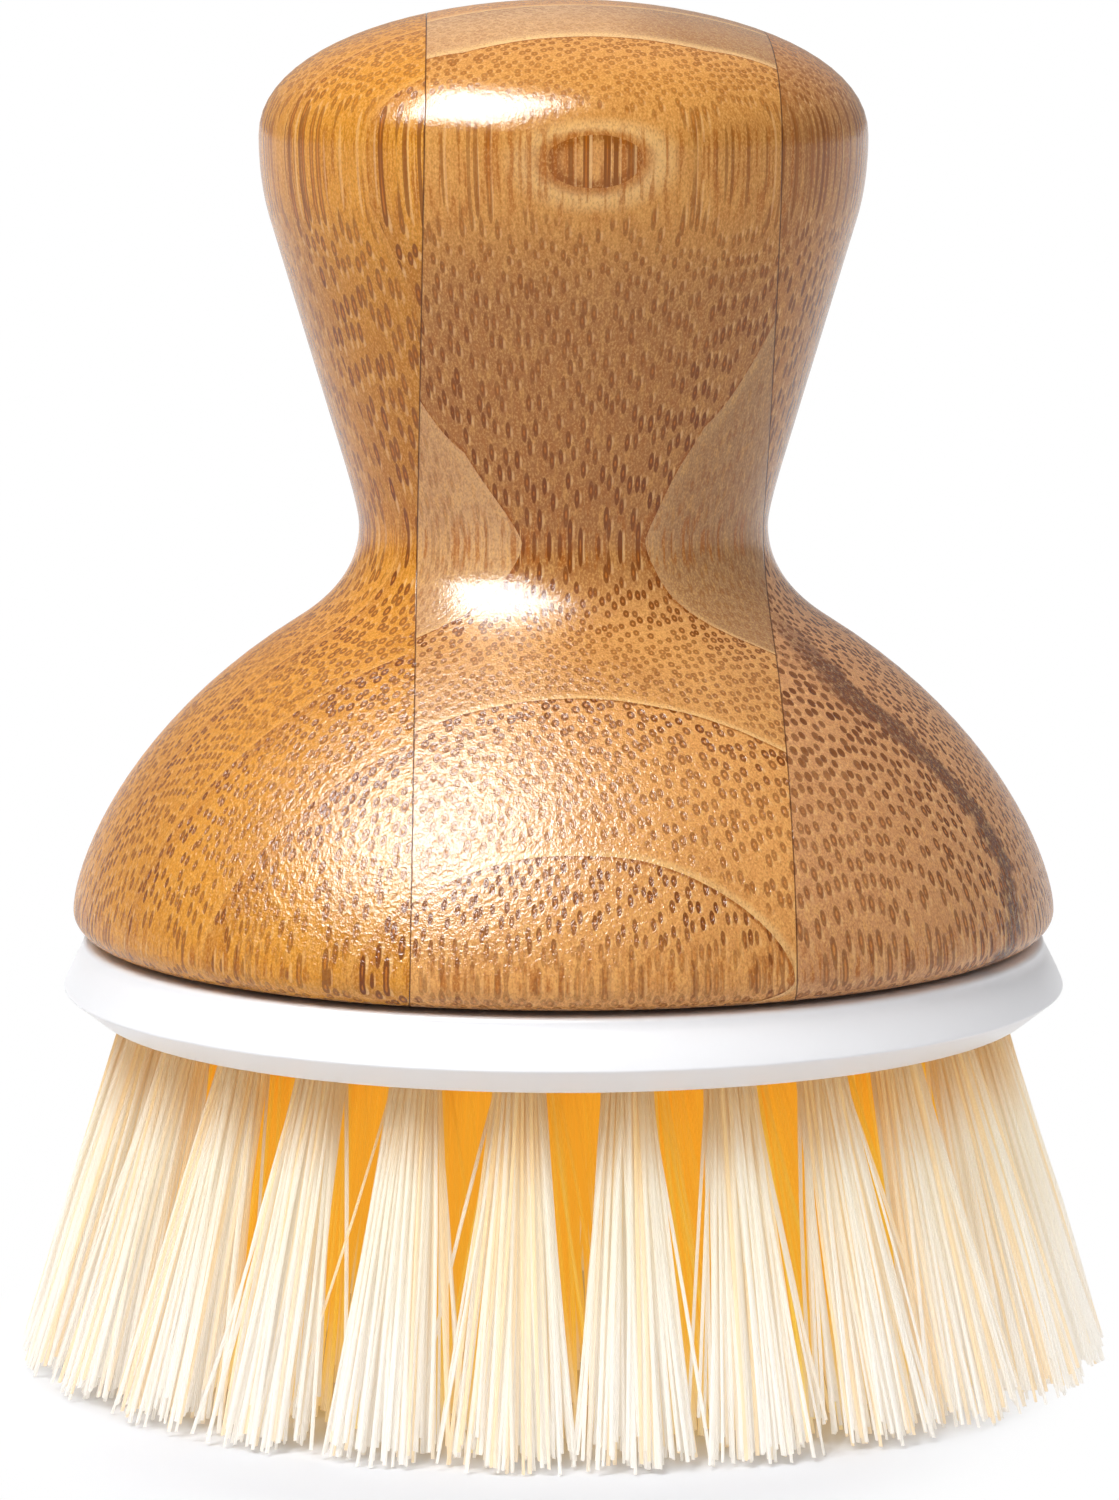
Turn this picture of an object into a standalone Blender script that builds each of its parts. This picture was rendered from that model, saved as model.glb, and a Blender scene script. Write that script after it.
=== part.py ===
"""Palm dish brush: a turned bamboo handle that screws onto a round brush head with splayed bristle tufts.

Blender 4.5, metres, +Z up. The origin lies on the turning axis, on the surface that the bristles stand on.
Azimuths are counted from the front (-Y) towards +X.
"""

import math
import random

import bmesh
import bpy
from mathutils import Matrix, Vector

MM = 0.001

# Brush head: free bristle length and the moulded disc
BRISTLE_LENGTH = 25.5 * MM
DISC_THICKNESS = 5.35 * MM
DISC_TOP_RADIUS = 35.4 * MM
DISC_TOP_ROUND = 0.5 * MM
RIM_FLARE = 1.44 * MM
RIM_HEIGHT = 1.9 * MM
UNDERSIDE_INSET = 1.0 * MM

# Handle, from its flat bottom upwards: how far each stretch rises, and the radii of the turned shape
DOME_OVERHANG = 0.65 * MM
BASE_INSET = 1.8 * MM
BASE_RISE = 1.9 * MM
DOME_RISE = 21.05 * MM
FLARE_RADIUS = 19.65 * MM
FLARE_RISE = 7.1 * MM
WAIST_RADIUS = 14.95 * MM
WAIST_RISE = 1.1 * MM
CONE_RISE = 23.85 * MM
KNOB_RADIUS = 22.1 * MM
KNOB_RISE = 3.4 * MM
CROWN_RISE = 9.75 * MM

# How the handle's curves lean on their corners, as shares
CROWN_SHARE = 0.5
SHOULDER_SHARE = 0.63
CONE_HEAD_SHARE = 0.11
CONE_FOOT_SHARE = 0.16
FLARE_FALL_SHARE = 0.626
DOME_CROWN_SHARE = 0.80
DOME_SIDE_SHARE = 0.12
BASE_ROUND_SHARE = 0.55

# Boards that the handle is glued up from: where the glue planes pass the waist, how they turn about the turning
# axis and lean along it, and the glue between the boards
LEFT_GLUE_PLANE = -10.7 * MM
LEFT_GLUE_TURN = math.radians(1.3)
LEFT_GLUE_LEAN = math.radians(1.2)
RIGHT_BOARD_AT_WAIST = 0.65 * MM
RIGHT_GLUE_TURN = math.radians(3.3)
RIGHT_GLUE_LEAN = math.radians(0.2)
GLUE_LINE = 0.2 * MM

# Fit between pieces that touch
SEAT_GAP = 0.3 * MM

# Screw joint: threaded stud on the disc, threaded insert in the handle
STUD_HEIGHT = 9.0 * MM
STUD_CORE_RADIUS = 5.6 * MM
STUD_CHAMFER = 0.8 * MM
THREAD_PITCH = 3.0 * MM
THREAD_DEPTH = 0.9 * MM
THREAD_SINK = 0.3 * MM
THREAD_ROOT_WIDTH = 1.6 * MM
THREAD_CREST_WIDTH = 0.7 * MM
THREAD_START = 1.2 * MM
THREAD_END = 1.05 * MM
THREAD_LEAD_TURNS = 1.0
THREAD_RUNOUT_TURNS = 0.25
THREAD_GAP = 0.35 * MM
FLANK_GAP = 0.25 * MM
INSERT_WALL = 1.75 * MM
INSERT_HEADROOM = 1.0 * MM
INSERT_CAP = 1.2 * MM
INSERT_CHAMFER = 0.6 * MM
FLANGE_THICKNESS = 1.4 * MM
GLUE_GROOVE_DEPTH = 0.5 * MM
GLUE_GROOVE_WIDTH = 1.0 * MM
GLUE_GROOVE_COUNT = 2

# Sealing washer round the stud
WASHER_THICKNESS = 0.9 * MM
WASHER_WIDTH = 5.0 * MM
WASHER_BORE_GAP = 0.8 * MM

# Bristle rows: the outer row, the second row and the rows behind them
OUTER_ROW_INSET = 3.8 * MM
OUTER_TUFT_COUNT = 26
SECOND_TUFT_COUNT = 20
HIDDEN_TUFT_COUNTS = (14, 9, 5)
FIRST_TUFT_AZIMUTH = math.radians(-5.6)
SPLAY_SHARE = 0.236
TUFT_HOLE_RADIUS = 2.2 * MM
TUFT_HOLE_DEPTH = 3.3 * MM
TUFT_ROOT_PROUD = 0.3 * MM
SLICE_THICKNESS = 1.2 * MM
SLICE_MARGIN = 2.2 * MM

# Bristle strands
OUTER_RING_STRANDS = 7
SECOND_RING_STRANDS = 5
HIDDEN_RING_STRANDS = 3
STRAND_ROOT_RADIUS = 0.38 * MM
STRAND_TIP_RADIUS = 0.9 * MM
STRAND_SINK = 0.6 * MM
ROOT_RING_RADIUS = 0.95 * MM
TUFT_GAP = 0.6 * MM
TIP_WANDER = 0.15 * MM
TRIM_DEPTH = 0.5 * MM
RAGGED_HEIGHT = 1.8 * MM
STRAND_SIDES = 3
ROOT_SIDES = 6

# Mesh fineness
TURN_STEPS = 44
SMALL_TURN_STEPS = 20
THREAD_STEPS = 20
THREAD_CLOCKING = math.radians(3)
CURVE_STEPS = 5
ROUND_STEPS = 2
CREASE_ANGLE = math.radians(35)
MERGE_DISTANCE = 0.01 * MM
OVERRUN = 1.0 * MM
SEED = 7

# Places worked out from the sizes above
RIM_RADIUS = DISC_TOP_RADIUS + RIM_FLARE
UNDERSIDE_RADIUS = DISC_TOP_RADIUS - UNDERSIDE_INSET
DISC_TOP = BRISTLE_LENGTH + DISC_THICKNESS
HANDLE_BOTTOM = DISC_TOP + SEAT_GAP
BASE_RADIUS = DISC_TOP_RADIUS - BASE_INSET
DOME_RADIUS = DISC_TOP_RADIUS + DOME_OVERHANG
DOME_WIDEST = HANDLE_BOTTOM + BASE_RISE
FLARE_HEIGHT = DOME_WIDEST + DOME_RISE
WAIST_FOOT = FLARE_HEIGHT + FLARE_RISE
WAIST_HEAD = WAIST_FOOT + WAIST_RISE
CONE_HEAD = WAIST_HEAD + CONE_RISE
KNOB_WIDEST = CONE_HEAD + KNOB_RISE
HANDLE_TOP = KNOB_WIDEST + CROWN_RISE
RIGHT_GLUE_PLANE = WAIST_RADIUS - RIGHT_BOARD_AT_WAIST
THREAD_TURNS = (STUD_HEIGHT - THREAD_START - THREAD_END) / THREAD_PITCH
THREAD_CREST_RADIUS = STUD_CORE_RADIUS + THREAD_DEPTH
STUD_TOP = DISC_TOP + STUD_HEIGHT
INSERT_BORE_TOP = STUD_TOP + INSERT_HEADROOM
INSERT_TOP = INSERT_BORE_TOP + INSERT_CAP
INSERT_RADIUS = THREAD_CREST_RADIUS + THREAD_GAP + INSERT_WALL
WASHER_INNER_RADIUS = THREAD_CREST_RADIUS + WASHER_BORE_GAP
WASHER_OUTER_RADIUS = WASHER_INNER_RADIUS + WASHER_WIDTH
WASHER_RECESS_RADIUS = WASHER_OUTER_RADIUS + SEAT_GAP
WASHER_TOP = HANDLE_BOTTOM - SEAT_GAP
WASHER_BOTTOM = WASHER_TOP - WASHER_THICKNESS
WASHER_RECESS_FLOOR = WASHER_BOTTOM - SEAT_GAP
OUTER_ROW_RADIUS = UNDERSIDE_RADIUS - OUTER_ROW_INSET
ROW_COUNT = 2 + len(HIDDEN_TUFT_COUNTS)
ROW_SPACING = OUTER_ROW_RADIUS / ROW_COUNT
TIP_ROW_SPACING = ROW_SPACING * (1 + SPLAY_SHARE)
SECOND_ROW_RADIUS = OUTER_ROW_RADIUS - ROW_SPACING
SLICE_RADIUS = SECOND_ROW_RADIUS - ROW_SPACING + SLICE_MARGIN
SLICE_TOP = BRISTLE_LENGTH + SLICE_THICKNESS


def clear_scene():
    for obj in list(bpy.data.objects):
        bpy.data.objects.remove(obj, do_unlink=True)


def new_collection(name):
    collection = bpy.data.collections.new(name)
    bpy.context.scene.collection.children.link(collection)
    return collection


def material(name, colour, roughness, metallic=0.0):
    made = bpy.data.materials.new(name)
    made.use_nodes = True
    shader = made.node_tree.nodes["Principled BSDF"]
    shader.inputs["Base Color"].default_value = (*colour, 1.0)
    shader.inputs["Roughness"].default_value = roughness
    shader.inputs["Metallic"].default_value = metallic
    return made


def bamboo_left():
    return material("bamboo_left_board", (0.56, 0.26, 0.075), 0.38)


def bamboo_middle():
    return material("bamboo_middle_board", (0.60, 0.31, 0.11), 0.38)


def bamboo_right():
    return material("bamboo_right_board", (0.47, 0.24, 0.10), 0.38)


def white_plastic():
    return material("white_plastic", (0.86, 0.86, 0.87), 0.42)


def insert_plastic():
    return material("insert_plastic", (0.55, 0.56, 0.58), 0.5)


def washer_rubber():
    return material("washer_rubber", (0.06, 0.06, 0.06), 0.8)


def cream_bristle():
    return material("cream_bristle", (0.87, 0.81, 0.62), 0.45)


def yellow_bristle():
    return material("yellow_bristle", (0.86, 0.46, 0.08), 0.45)


def add_object(name, data, collection, finish=None):
    obj = bpy.data.objects.new(name, data)
    collection.objects.link(obj)
    if finish is not None and not data.materials:
        data.materials.append(finish)
    return obj


def hide_helper(obj):
    obj.hide_render = True
    obj.display_type = "WIRE"
    return obj


def mesh_from(bm, name):
    mesh = bpy.data.meshes.new(name)
    bm.to_mesh(mesh)
    bm.free()
    return mesh


def shade_round(mesh):
    mesh.shade_smooth()
    mesh.set_sharp_from_angle(angle=CREASE_ANGLE)


def apply_modifiers(obj):
    """Gives the object the mesh that its modifiers make."""
    bpy.context.view_layer.update()
    graph = bpy.context.evaluated_depsgraph_get()
    made = bpy.data.meshes.new_from_object(obj.evaluated_get(graph))
    bm = bmesh.new()
    bm.from_mesh(made)
    bmesh.ops.remove_doubles(bm, verts=bm.verts[:], dist=MERGE_DISTANCE)
    bm.to_mesh(made)
    bm.free()
    plain = obj.data
    obj.modifiers.clear()
    obj.data = made
    made.name = obj.name
    bpy.data.meshes.remove(plain)
    shade_round(made)
    return obj


def combine(obj, other, operation):
    change = obj.modifiers.new(operation.lower(), "BOOLEAN")
    change.operation = operation
    change.solver = "EXACT"
    change.object = other


def turned(name, outline, collection, finish=None, steps=TURN_STEPS, closed=False):
    """Turns an outline of (radius, height) points about the axis. It runs down the outer side first."""
    points = [(radius, 0.0, height) for radius, height in outline]
    edges = [(index, index + 1) for index in range(len(points) - 1)]
    if closed:
        edges.append((len(points) - 1, 0))
    mesh = bpy.data.meshes.new(name)
    mesh.from_pydata(points, edges, [])
    obj = add_object(name, mesh, collection, finish)
    turn = obj.modifiers.new("turn", "SCREW")
    turn.axis = "Z"
    turn.steps = steps
    turn.render_steps = steps
    turn.use_merge_vertices = True
    turn.merge_threshold = MERGE_DISTANCE
    return obj


def between(start, end, share):
    return tuple(a + (b - a) * share for a, b in zip(start, end))


def bezier(points, steps):
    """Points along a Bezier curve of any degree, without its first point."""
    found = []
    for step in range(1, steps + 1):
        row = points
        while len(row) > 1:
            row = [between(a, b, step / steps) for a, b in zip(row, row[1:])]
        found.append(row[0])
    return found


def handle_outline():
    """The handle's turned outline, from the middle of its crown to the edge of its flat bottom."""
    crown = (0.0, HANDLE_TOP)
    shoulder = (KNOB_RADIUS, KNOB_WIDEST)
    cone_head = (KNOB_RADIUS, CONE_HEAD)
    cone_foot = (WAIST_RADIUS, WAIST_HEAD)
    waist = (WAIST_RADIUS, WAIST_FOOT)
    flare = (FLARE_RADIUS, FLARE_HEIGHT)
    flare_width = FLARE_RADIUS - WAIST_RADIUS
    waist_corner = (WAIST_RADIUS, FLARE_HEIGHT + flare_width * FLARE_FALL_SHARE)
    widest = (DOME_RADIUS, DOME_WIDEST)
    dome_reach = (DOME_RADIUS - FLARE_RADIUS) * DOME_CROWN_SHARE
    dome_crown = (FLARE_RADIUS + dome_reach, FLARE_HEIGHT - dome_reach * FLARE_FALL_SHARE)
    dome_side = (DOME_RADIUS, DOME_WIDEST + DOME_RISE * DOME_SIDE_SHARE)
    base = (BASE_RADIUS, HANDLE_BOTTOM)
    base_side = (DOME_RADIUS, DOME_WIDEST - BASE_RISE * BASE_ROUND_SHARE)
    base_under = (BASE_RADIUS + (DOME_RADIUS - BASE_RADIUS) * BASE_ROUND_SHARE, HANDLE_BOTTOM)

    outline = [crown]
    crown_side = (KNOB_RADIUS * CROWN_SHARE, HANDLE_TOP)
    shoulder_top = (KNOB_RADIUS, KNOB_WIDEST + CROWN_RISE * SHOULDER_SHARE)
    outline += bezier([crown, crown_side, shoulder_top, shoulder], CURVE_STEPS + ROUND_STEPS)
    outline += bezier([shoulder, cone_head, between(cone_head, cone_foot, CONE_HEAD_SHARE)], ROUND_STEPS)
    outline.append(between(cone_foot, cone_head, CONE_FOOT_SHARE))
    outline += bezier([outline[-1], cone_foot, waist], ROUND_STEPS)
    outline += bezier([waist, waist_corner, flare], CURVE_STEPS)
    outline += bezier([flare, dome_crown, dome_side, widest], CURVE_STEPS + ROUND_STEPS)
    outline += bezier([widest, base_side, base_under, base], ROUND_STEPS)
    return outline


def handle_blank(collection):
    """The whole turned handle with the pocket for its insert, before it is parted into boards."""
    pocket_radius = INSERT_RADIUS + SEAT_GAP
    flange_pocket = WASHER_RECESS_RADIUS + SEAT_GAP
    flange_ceiling = HANDLE_BOTTOM + FLANGE_THICKNESS + SEAT_GAP
    outline = handle_outline()
    outline += [(flange_pocket, HANDLE_BOTTOM), (flange_pocket, flange_ceiling)]
    outline += [(pocket_radius, flange_ceiling), (pocket_radius, INSERT_TOP + SEAT_GAP)]
    outline.append((0.0, INSERT_TOP + SEAT_GAP))
    return hide_helper(apply_modifiers(turned("handle_blank", outline, collection)))


def keep_side(bm, glue_plane, direction):
    """Cuts the solid at one face of a glue line and keeps what lies on the other side of its direction along X."""
    place, turn, lean_angle = glue_plane
    point = (place - direction * GLUE_LINE / 2, 0, WAIST_FOOT)
    normal = Vector((1, math.tan(turn), -math.tan(lean_angle))) * direction
    geometry = bm.verts[:] + bm.edges[:] + bm.faces[:]
    cut = bmesh.ops.bisect_plane(
        bm, geom=geometry, dist=MERGE_DISTANCE, plane_co=point, plane_no=normal, clear_outer=True
    )
    rim = [item for item in cut["geom_cut"] if isinstance(item, bmesh.types.BMEdge)]
    bmesh.ops.contextual_create(bm, geom=rim)


def handle_board(name, blank, low, high, collection, finish):
    """One bamboo board of the handle: the part of the turned blank between two glue planes."""
    bm = bmesh.new()
    bm.from_mesh(blank.data)
    if low is not None:
        keep_side(bm, low, -1)
    if high is not None:
        keep_side(bm, high, 1)
    mesh = mesh_from(bm, name)
    shade_round(mesh)
    return add_object(name, mesh, collection, finish)


def thread_ridge(name, extra, flank, start, turns, collection):
    """A right-hand helical ridge of trapezoid section, grown outwards and along its flanks where asked."""
    root = STUD_CORE_RADIUS - THREAD_SINK
    crest = THREAD_CREST_RADIUS + extra
    root_half = THREAD_ROOT_WIDTH / 2 + flank
    crest_half = THREAD_CREST_WIDTH / 2 + flank
    section = [(root, -root_half), (crest, -crest_half), (crest, crest_half), (root, root_half)]
    bm = bmesh.new()
    corners = [bm.verts.new((radius, 0.0, start + height)) for radius, height in section]
    face = bm.faces.new(corners)
    bmesh.ops.rotate(bm, verts=corners, cent=(0, 0, 0), matrix=Matrix.Rotation(THREAD_CLOCKING, 3, "Z"))
    steps = round(turns * THREAD_STEPS)
    bmesh.ops.spin(
        bm,
        geom=[face] + face.edges[:] + corners,
        cent=(0, 0, 0),
        axis=(0, 0, 1),
        dvec=(0, 0, THREAD_PITCH / THREAD_STEPS),
        angle=math.tau * steps / THREAD_STEPS,
        steps=steps,
    )
    bmesh.ops.recalc_face_normals(bm, faces=bm.faces[:])
    return hide_helper(add_object(name, mesh_from(bm, name), collection))


def insert_outline():
    """The threaded insert's outline: a flanged cap with glue grooves outside and a plain bore inside."""
    shank_foot = HANDLE_BOTTOM + FLANGE_THICKNESS
    bore = STUD_CORE_RADIUS + THREAD_GAP
    outline = [(0.0, INSERT_TOP), (INSERT_RADIUS - INSERT_CHAMFER, INSERT_TOP)]
    outline.append((INSERT_RADIUS, INSERT_TOP - INSERT_CHAMFER))
    groove_floor = INSERT_RADIUS - GLUE_GROOVE_DEPTH
    shank = INSERT_TOP - INSERT_CHAMFER - shank_foot
    for index in range(GLUE_GROOVE_COUNT):
        middle = INSERT_TOP - INSERT_CHAMFER - shank * (index + 1) / (GLUE_GROOVE_COUNT + 1)
        upper = middle + GLUE_GROOVE_WIDTH / 2
        lower = middle - GLUE_GROOVE_WIDTH / 2
        outline += [(INSERT_RADIUS, upper), (groove_floor, upper), (groove_floor, lower), (INSERT_RADIUS, lower)]
    outline += [(INSERT_RADIUS, shank_foot), (WASHER_RECESS_RADIUS, shank_foot)]
    outline += [(WASHER_RECESS_RADIUS, HANDLE_BOTTOM), (bore + INSERT_CHAMFER, HANDLE_BOTTOM)]
    outline += [(bore, HANDLE_BOTTOM + INSERT_CHAMFER), (bore, INSERT_BORE_TOP), (0.0, INSERT_BORE_TOP)]
    return outline


def handle_insert(collection, helpers, finish):
    insert = turned("handle_insert", insert_outline(), collection, finish, SMALL_TURN_STEPS)
    start = DISC_TOP + THREAD_START - THREAD_PITCH * THREAD_LEAD_TURNS
    turns = THREAD_TURNS + THREAD_LEAD_TURNS + THREAD_RUNOUT_TURNS
    groove = thread_ridge("insert_thread_cutter", THREAD_GAP, FLANK_GAP, start, turns, helpers)
    combine(insert, groove, "DIFFERENCE")
    return apply_modifiers(insert)


def seat_washer(collection, finish):
    outline = [(WASHER_OUTER_RADIUS, WASHER_TOP), (WASHER_OUTER_RADIUS, WASHER_BOTTOM)]
    outline += [(WASHER_INNER_RADIUS, WASHER_BOTTOM), (WASHER_INNER_RADIUS, WASHER_TOP)]
    washer = turned("seat_washer", outline, collection, finish, SMALL_TURN_STEPS, closed=True)
    return apply_modifiers(washer)


def disc_outline():
    """The brush head's outline, from the top of its stud round the rim to the middle of its underside."""
    outline = [(0.0, STUD_TOP), (STUD_CORE_RADIUS - STUD_CHAMFER, STUD_TOP)]
    outline += [(STUD_CORE_RADIUS, STUD_TOP - STUD_CHAMFER), (STUD_CORE_RADIUS, WASHER_RECESS_FLOOR)]
    outline += [(WASHER_RECESS_RADIUS, WASHER_RECESS_FLOOR), (WASHER_RECESS_RADIUS, DISC_TOP)]
    round_start = (DISC_TOP_RADIUS - DISC_TOP_ROUND, DISC_TOP)
    round_end = (DISC_TOP_RADIUS, DISC_TOP - DISC_TOP_ROUND)
    outline.append(round_start)
    outline += bezier([round_start, (DISC_TOP_RADIUS, DISC_TOP), round_end], ROUND_STEPS)
    outline += [(RIM_RADIUS, BRISTLE_LENGTH + RIM_HEIGHT), (UNDERSIDE_RADIUS, BRISTLE_LENGTH)]
    pocket = SLICE_RADIUS + SEAT_GAP
    ceiling = SLICE_TOP + SEAT_GAP
    outline += [(pocket, BRISTLE_LENGTH), (pocket, ceiling), (0.0, ceiling)]
    return outline


def slanted(bm, sides, low_centre, low_radius, high_centre, high_radius):
    """Adds a closed prism or cone with level ends, whose axis runs from one point up to another."""
    run = high_centre - low_centre
    middle = (high_centre + low_centre) / 2
    place = Matrix(((1, 0, run.x, middle.x), (0, 1, run.y, middle.y), (0, 0, run.z, middle.z), (0, 0, 0, 1)))
    bmesh.ops.create_cone(
        bm, cap_ends=True, segments=sides, radius1=low_radius, radius2=high_radius, depth=1, matrix=place
    )


def lean(row_radius):
    """How far a tuft of this row moves outwards for each unit that it goes down."""
    return row_radius * SPLAY_SHARE / BRISTLE_LENGTH


def root_plug(bm, row_radius, low, high, radius, place=None):
    """A tuft's root, or its hole, between two heights over the mouth of the hole, leaning as the tuft does."""
    slope = lean(row_radius)
    low_centre = Vector((-slope * low, 0, low))
    high_centre = Vector((-slope * high, 0, high))
    before = len(bm.verts)
    slanted(bm, ROOT_SIDES, low_centre, radius, high_centre, radius)
    if place is not None:
        bm.verts.ensure_lookup_table()
        bmesh.ops.transform(bm, matrix=place, verts=bm.verts[before:])


def tuft_azimuth(index, count):
    return FIRST_TUFT_AZIMUTH + math.tau * index / count


def tuft_place(row_radius, azimuth):
    """Puts a tuft that is modelled at the origin, leaning to +X, at its azimuth on the disc's underside."""
    spot = Vector((row_radius * math.sin(azimuth), -row_radius * math.cos(azimuth), BRISTLE_LENGTH))
    return Matrix.Translation(spot) @ Matrix.Rotation(azimuth - math.pi / 2, 4, "Z")


def add_strands(bm, row_radius, tuft_count, ring_strands, chance, place=None):
    """A straight strand in the middle of the tuft and a ring of strands that fan out from it."""
    tip_radius = row_radius * (1 + SPLAY_SHARE)
    margin = TUFT_GAP / 2 + STRAND_TIP_RADIUS + TIP_WANDER
    reach = TIP_ROW_SPACING / 2 - margin
    root_middle = -lean(row_radius) * STRAND_SINK
    first = chance.uniform(0, math.tau / ring_strands)
    shares = [(0.0, 0.0)]
    for index in range(ring_strands):
        angle = first + math.tau * index / ring_strands
        shares.append((math.cos(angle), math.sin(angle)))
    for number, (along_share, across_share) in enumerate(shares):
        root = Vector((root_middle + along_share * ROOT_RING_RADIUS, across_share * ROOT_RING_RADIUS, STRAND_SINK))
        distance = tip_radius + along_share * reach
        angle = across_share * (math.pi / tuft_count - margin / distance)
        tip = Vector((distance * math.cos(angle) - row_radius, distance * math.sin(angle), -BRISTLE_LENGTH))
        tip.x += chance.uniform(-TIP_WANDER, TIP_WANDER)
        tip.y += chance.uniform(-TIP_WANDER, TIP_WANDER)
        cut = chance.uniform(-TRIM_DEPTH, RAGGED_HEIGHT) if number else 0.0
        kept = (root.z + BRISTLE_LENGTH - max(cut, 0.0)) / (root.z + BRISTLE_LENGTH)
        before = len(bm.verts)
        slanted(bm, STRAND_SIDES, root.lerp(tip, kept), STRAND_TIP_RADIUS, root, STRAND_ROOT_RADIUS)
        if place is not None:
            bm.verts.ensure_lookup_table()
            bmesh.ops.transform(bm, matrix=place, verts=bm.verts[before:])


def tuft_mesh(name, row_radius, tuft_count, ring_strands, chance, helpers, finish):
    """One tuft with its root, leaning to +X, with its origin at the mouth of its hole."""
    roots = bmesh.new()
    radius = TUFT_HOLE_RADIUS - SEAT_GAP
    root_plug(roots, row_radius, -TUFT_ROOT_PROUD, TUFT_HOLE_DEPTH - SEAT_GAP, radius)
    strands = bmesh.new()
    add_strands(strands, row_radius, tuft_count, ring_strands, chance)
    root = add_object(name, mesh_from(roots, name), helpers, finish)
    fan = add_object(name + "_strands", mesh_from(strands, name + "_strands"), helpers)
    combine(root, fan, "UNION")
    mesh = apply_modifiers(root).data
    bpy.data.objects.remove(root)
    bpy.data.objects.remove(fan)
    return mesh


def tuft_row(name, row_radius, tuft_count, ring_strands, collection, helpers, finish):
    """A row of single tufts. Opposite tufts share a mesh, so that the row stays balanced about the axis."""
    chance = random.Random(SEED + tuft_count)
    variants = max(1, tuft_count // 2)
    meshes = []
    for index in range(variants):
        mesh_name = f"{name}_shape_{index + 1:02d}"
        meshes.append(tuft_mesh(mesh_name, row_radius, tuft_count, ring_strands, chance, helpers, finish))
    for index in range(tuft_count):
        tuft = add_object(f"{name}_{index + 1:02d}", meshes[index % variants], collection)
        tuft.matrix_world = tuft_place(row_radius, tuft_azimuth(index, tuft_count))


def inner_tufts(collection, helpers, finish):
    """The tufts behind the two visible rows, all on one round slice of their backing."""
    name = "inner_tufts"
    bm = bmesh.new()
    low_centre = Vector((0, 0, BRISTLE_LENGTH))
    high_centre = Vector((0, 0, SLICE_TOP))
    slanted(bm, TURN_STEPS, low_centre, SLICE_RADIUS, high_centre, SLICE_RADIUS)
    backing = add_object(name, mesh_from(bm, name), collection, finish)
    bm = bmesh.new()
    for index, count in enumerate(HIDDEN_TUFT_COUNTS):
        radius = SECOND_ROW_RADIUS - ROW_SPACING * (index + 1)
        chance = random.Random(SEED + count)
        for tuft in range(count):
            place = tuft_place(radius, tuft_azimuth(tuft, count))
            add_strands(bm, radius, count, HIDDEN_RING_STRANDS, chance, place)
    fan = hide_helper(add_object(name + "_strands", mesh_from(bm, name + "_strands"), helpers))
    combine(backing, fan, "UNION")
    return apply_modifiers(backing)


def hole_cutter(rows, helpers):
    """The blind holes for all single tufts, as one cutter."""
    bm = bmesh.new()
    for row_radius, count in rows:
        for index in range(count):
            place = tuft_place(row_radius, tuft_azimuth(index, count))
            root_plug(bm, row_radius, -OVERRUN, TUFT_HOLE_DEPTH, TUFT_HOLE_RADIUS, place)
    return hide_helper(add_object("tuft_hole_cutter", mesh_from(bm, "tuft_hole_cutter"), helpers))


def head_disc(rows, collection, helpers, finish):
    disc = turned("head_disc", disc_outline(), collection, finish)
    start = DISC_TOP + THREAD_START
    ridge = thread_ridge("stud_thread", 0.0, 0.0, start, THREAD_TURNS, helpers)
    combine(disc, hole_cutter(rows, helpers), "DIFFERENCE")
    combine(disc, ridge, "UNION")
    return apply_modifiers(disc)


def build():
    clear_scene()
    parts = new_collection("dish_brush")
    helpers = new_collection("dish_brush_cutters")
    blank = handle_blank(helpers)
    left_glue = (LEFT_GLUE_PLANE, LEFT_GLUE_TURN, LEFT_GLUE_LEAN)
    right_glue = (RIGHT_GLUE_PLANE, RIGHT_GLUE_TURN, RIGHT_GLUE_LEAN)
    handle_board("handle_left_board", blank, None, left_glue, parts, bamboo_left())
    handle_board("handle_middle_board", blank, left_glue, right_glue, parts, bamboo_middle())
    handle_board("handle_right_board", blank, right_glue, None, parts, bamboo_right())
    handle_insert(parts, helpers, insert_plastic())
    seat_washer(parts, washer_rubber())
    rows = [(OUTER_ROW_RADIUS, OUTER_TUFT_COUNT), (SECOND_ROW_RADIUS, SECOND_TUFT_COUNT)]
    head_disc(rows, parts, helpers, white_plastic())
    cream = cream_bristle()
    yellow = yellow_bristle()
    tuft_row("outer_tuft", *rows[0], OUTER_RING_STRANDS, parts, helpers, cream)
    tuft_row("second_tuft", *rows[1], SECOND_RING_STRANDS, parts, helpers, yellow)
    inner_tufts(parts, helpers, yellow)


build()
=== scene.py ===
import math
import random

import bpy
import numpy as np
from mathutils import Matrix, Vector


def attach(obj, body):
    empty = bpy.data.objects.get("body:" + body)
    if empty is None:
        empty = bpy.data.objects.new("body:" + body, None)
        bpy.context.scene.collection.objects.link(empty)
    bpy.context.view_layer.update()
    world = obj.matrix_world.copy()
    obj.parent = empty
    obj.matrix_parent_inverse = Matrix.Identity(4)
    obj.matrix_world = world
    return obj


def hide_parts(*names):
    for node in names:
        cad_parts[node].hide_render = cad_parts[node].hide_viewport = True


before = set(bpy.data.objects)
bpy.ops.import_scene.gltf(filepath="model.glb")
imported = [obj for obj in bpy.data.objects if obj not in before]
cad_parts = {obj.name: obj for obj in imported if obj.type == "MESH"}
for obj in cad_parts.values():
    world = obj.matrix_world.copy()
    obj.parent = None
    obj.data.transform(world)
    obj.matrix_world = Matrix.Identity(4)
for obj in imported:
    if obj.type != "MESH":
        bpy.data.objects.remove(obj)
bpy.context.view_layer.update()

MM = 0.001
SEED = 11
PHOTO_HEIGHT = 1500

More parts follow.
